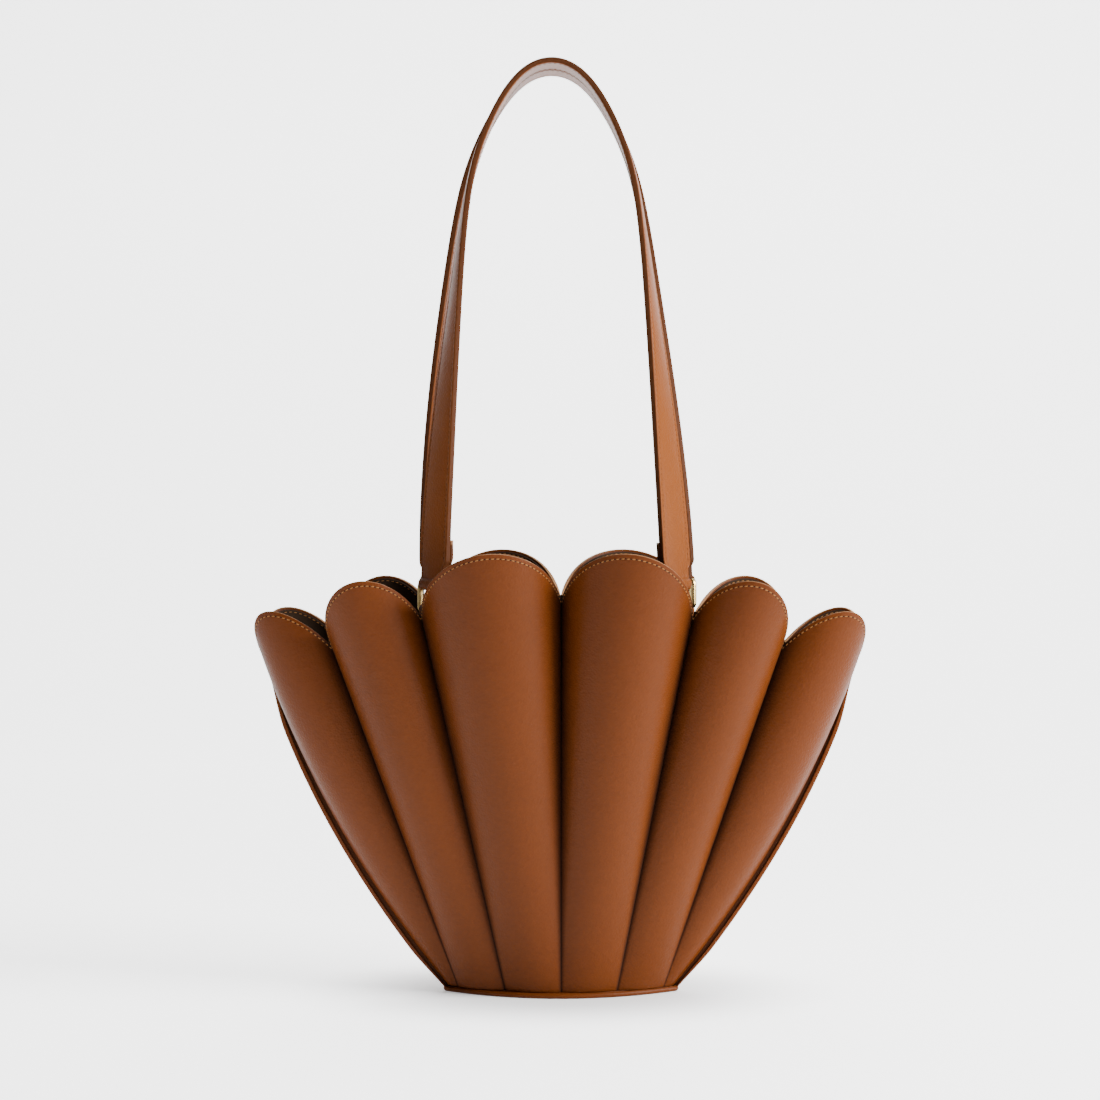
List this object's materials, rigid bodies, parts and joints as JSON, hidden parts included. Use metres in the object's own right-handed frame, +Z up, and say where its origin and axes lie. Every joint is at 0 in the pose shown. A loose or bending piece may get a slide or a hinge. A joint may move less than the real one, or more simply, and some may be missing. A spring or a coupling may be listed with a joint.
{
  "type": "mini tote bag",
  "caption": "Shell-shaped leather tote with rounded flutes, a scalloped mouth, a small lens-shaped base and two shoulder straps on brass loops.",
  "frame": {"origin": "centre of the bottom of the bounding box, in the plane that the base stands on", "axes": "+Z up, +X to the right as seen from the front, the front panel towards -Y"},
  "size_m": [0.2966, 0.1352, 0.4531],
  "materials": {
    "panel_leather": "satin",
    "trim_leather": "satin",
    "strap_leather": "satin",
    "lining": "matte",
    "brass": "polished"
  },
  "bodies": {
    "root": {"front_flute_1": "panel_leather", "front_flute_2": "panel_leather", "front_flute_3": "panel_leather", "front_flute_4": "panel_leather", "front_flute_5": "panel_leather", "front_flute_6": "panel_leather", "back_flute_1": "panel_leather", "back_flute_2": "panel_leather", "back_flute_3": "panel_leather", "back_flute_4": "panel_leather", "back_flute_5": "panel_leather", "back_flute_6": "panel_leather", "front_lining_1": "lining", "front_lining_2": "lining", "front_lining_3": "lining", "front_lining_4": "lining", "front_lining_5": "lining", "front_lining_6": "lining", "back_lining_1": "lining", "back_lining_2": "lining", "back_lining_3": "lining", "back_lining_4": "lining", "back_lining_5": "lining", "back_lining_6": "lining", "front_loop_left": "brass", "front_loop_right": "brass", "back_loop_left": "brass", "back_loop_right": "brass", "front_tab_left": "trim_leather", "front_tab_right": "trim_leather", "back_tab_left": "trim_leather", "back_tab_right": "trim_leather", "front_strap": "strap_leather", "back_strap": "strap_leather", "side_binding_left": "trim_leather", "side_binding_right": "trim_leather", "base_panel": "trim_leather", "base_welt": "trim_leather"}
  },
  "joints": []
}
